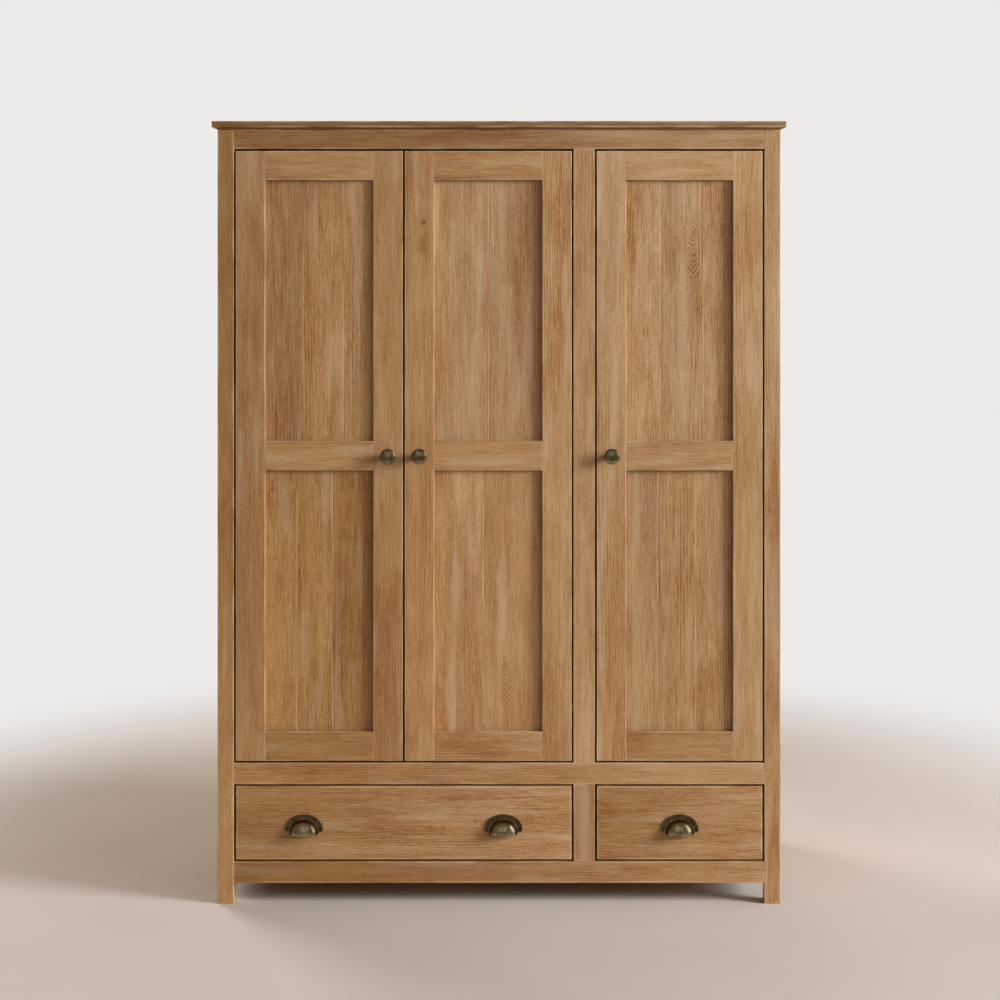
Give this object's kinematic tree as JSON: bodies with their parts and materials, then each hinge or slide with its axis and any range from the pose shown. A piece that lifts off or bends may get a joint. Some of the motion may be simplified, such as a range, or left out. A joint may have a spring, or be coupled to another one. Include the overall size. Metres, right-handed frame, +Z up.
{
  "type": "wardrobe with doors and drawers",
  "caption": "Free-standing oak-finish wardrobe with flush panelled doors over inset drawers, round knobs and cup pulls, with hanging rod, hat shelf and shelves inside.",
  "frame": {"origin": "on the floor, in the middle of the overall box, whose front is the face of the knobs", "axes": "+Z up, the front faces -Y, +X is to the right of someone facing the front"},
  "size_m": [1.341, 0.548, 1.829],
  "materials": {
    "oak_finish": "satin",
    "plywood": "matte",
    "antique_brass": "satin",
    "nickel_steel": "satin"
  },
  "bodies": {
    "carcass": {"top_board": "oak_finish", "leg_front_left": "oak_finish", "leg_front_right": "oak_finish", "leg_rear_left": "oak_finish", "leg_rear_right": "oak_finish", "rail_top": "oak_finish", "rail_middle": "oak_finish", "rail_bottom": "oak_finish", "mullion_upper": "oak_finish", "mullion_lower": "oak_finish", "side_panel_left": "oak_finish", "side_panel_right": "oak_finish", "partition": "oak_finish", "drawer_divider": "oak_finish", "deck": "oak_finish", "back_panel": "plywood", "hat_shelf": "oak_finish", "hanging_rod": "nickel_steel", "shelf_lower": "oak_finish", "shelf_upper": "oak_finish", "runner_left": "oak_finish", "runner_centre": "oak_finish", "runner_right": "oak_finish", "hinge_left_upper_arm": "nickel_steel", "hinge_left_lower_arm": "nickel_steel", "hinge_middle_upper_arm": "nickel_steel", "hinge_middle_lower_arm": "nickel_steel", "hinge_right_upper_arm": "nickel_steel", "hinge_right_lower_arm": "nickel_steel"},
    "door_left": {"door_left_frame": "oak_finish", "door_left_panel_upper": "oak_finish", "door_left_panel_lower": "oak_finish", "door_left_knob": "antique_brass", "hinge_left_upper_cup": "nickel_steel", "hinge_left_lower_cup": "nickel_steel"},
    "door_middle": {"door_middle_frame": "oak_finish", "door_middle_panel_upper": "oak_finish", "door_middle_panel_lower": "oak_finish", "door_middle_knob": "antique_brass", "hinge_middle_upper_cup": "nickel_steel", "hinge_middle_lower_cup": "nickel_steel"},
    "door_right": {"door_right_frame": "oak_finish", "door_right_panel_upper": "oak_finish", "door_right_panel_lower": "oak_finish", "door_right_knob": "antique_brass", "hinge_right_upper_cup": "nickel_steel", "hinge_right_lower_cup": "nickel_steel"},
    "drawer_wide": {"drawer_wide_front": "oak_finish", "drawer_wide_side_left": "oak_finish", "drawer_wide_side_right": "oak_finish", "drawer_wide_back": "oak_finish", "drawer_wide_bottom": "plywood", "drawer_wide_pull_left": "antique_brass", "drawer_wide_pull_right": "antique_brass"},
    "drawer_narrow": {"drawer_narrow_front": "oak_finish", "drawer_narrow_side_left": "oak_finish", "drawer_narrow_side_right": "oak_finish", "drawer_narrow_back": "oak_finish", "drawer_narrow_bottom": "plywood", "drawer_narrow_pull": "antique_brass"}
  },
  "joints": [
    {"name": "door_left_hinge", "type": "hinge", "parent": "carcass", "child": "door_left", "pos_m": [-0.6, -0.235, 1.047], "axis": [0, 0, -1], "range_deg": [0, 95]},
    {"name": "door_middle_hinge", "type": "hinge", "parent": "carcass", "child": "door_middle", "pos_m": [0.154, -0.235, 1.047], "axis": [0, 0, 1], "range_deg": [0, 95]},
    {"name": "door_right_hinge", "type": "hinge", "parent": "carcass", "child": "door_right", "pos_m": [0.6, -0.235, 1.047], "axis": [0, 0, 1], "range_deg": [0, 95]},
    {"name": "drawer_wide_slide", "type": "slide", "parent": "carcass", "child": "drawer_wide", "axis": [0, -1, 0], "range_m": [0, 0.34]},
    {"name": "drawer_narrow_slide", "type": "slide", "parent": "carcass", "child": "drawer_narrow", "axis": [0, -1, 0], "range_m": [0, 0.34]}
  ]
}
